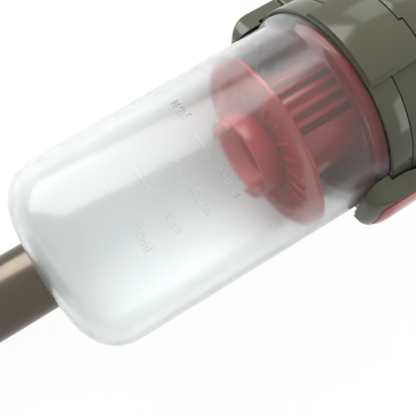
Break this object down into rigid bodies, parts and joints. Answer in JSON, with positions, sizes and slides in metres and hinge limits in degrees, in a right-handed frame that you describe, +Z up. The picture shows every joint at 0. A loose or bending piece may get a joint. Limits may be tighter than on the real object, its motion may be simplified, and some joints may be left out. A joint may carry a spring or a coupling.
{
  "type": "vacuum wet cleaning head",
  "caption": "Wet pick-up head for a stick vacuum: frosted dirty-water cup latched to a round head, metal tube underneath, hinged floor nozzle and rear outlet spigot.",
  "frame": {"origin": "middle of the box's underside, on the floor that the foot, the skids and the squeegees stand on", "axes": "+X along the tube from the nozzle to the outlet spigot, +Y to the left seen from the nozzle looking at the head, +Z up, from the tube towards the cup"},
  "size_m": [0.4742, 0.22, 0.1329],
  "materials": {
    "cup": "frosted translucent plastic",
    "separator": "glossy deep red plastic",
    "latch_pad": "glossy deep red inlay",
    "housing": "glossy olive grey plastic",
    "tube": "dark bronze metal tube",
    "rubber": "soft black rubber",
    "fasteners": "plain steel",
    "nozzle": "dark grey plastic"
  },
  "bodies": {
    "head": {"drop_tube": "separator", "baffle_disc": "separator", "separator_cage": "separator", "cup_seal": "rubber", "front_ring": "housing", "front_cover": "housing", "rear_cover": "housing", "head_body": "housing", "rear_dome": "housing", "inlet_elbow": "housing", "outlet_spigot": "housing", "outlet_seal": "rubber", "latch_pin_left": "fasteners", "latch_pin_right": "fasteners", "latch_spring_left": "fasteners", "latch_spring_right": "fasteners", "wand_tube": "tube", "tube_seal": "rubber", "housing_screw_1": "fasteners", "housing_screw_2": "fasteners", "housing_screw_3": "fasteners", "housing_screw_4": "fasteners", "nozzle_neck": "housing"},
    "cup": {"water_cup": "cup"},
    "latch_left": {"latch_left": "housing", "latch_pad_left": "latch_pad"},
    "latch_right": {"latch_right": "housing", "latch_pad_right": "latch_pad"},
    "nozzle": {"nozzle_body": "nozzle", "nozzle_plate": "nozzle", "front_squeegee": "rubber", "rear_squeegee": "rubber", "pivot_pin_left": "fasteners", "pivot_pin_right": "fasteners", "plate_screw_1": "fasteners", "plate_screw_2": "fasteners", "plate_screw_3": "fasteners", "plate_screw_4": "fasteners"}
  },
  "joints": [
    {"name": "cup_slide", "type": "slide", "parent": "head", "child": "cup", "axis": [-1, 0, 0], "range_m": [0, 0.06]},
    {"name": "latch_left_press", "type": "hinge", "parent": "head", "child": "latch_left", "pos_m": [0.14425, 0.04265, 0.07057], "axis": [0, -0.3746, -0.9272], "range_deg": [0, 9], "stiffness_Nm_per_rad": 0.15, "springref_deg": -3.44, "deforming": ["latch_spring_left"]},
    {"name": "latch_right_press", "type": "hinge", "parent": "head", "child": "latch_right", "pos_m": [0.14425, -0.04265, 0.10503], "axis": [0, 0.3746, 0.9272], "range_deg": [0, 9], "stiffness_Nm_per_rad": 0.15, "springref_deg": -3.44, "deforming": ["latch_spring_right"]},
    {"name": "nozzle_tilt", "type": "hinge", "parent": "head", "child": "nozzle", "pos_m": [-0.17115, 0, 0.0248], "axis": [0, 1, 0], "range_deg": [0, 55]}
  ]
}
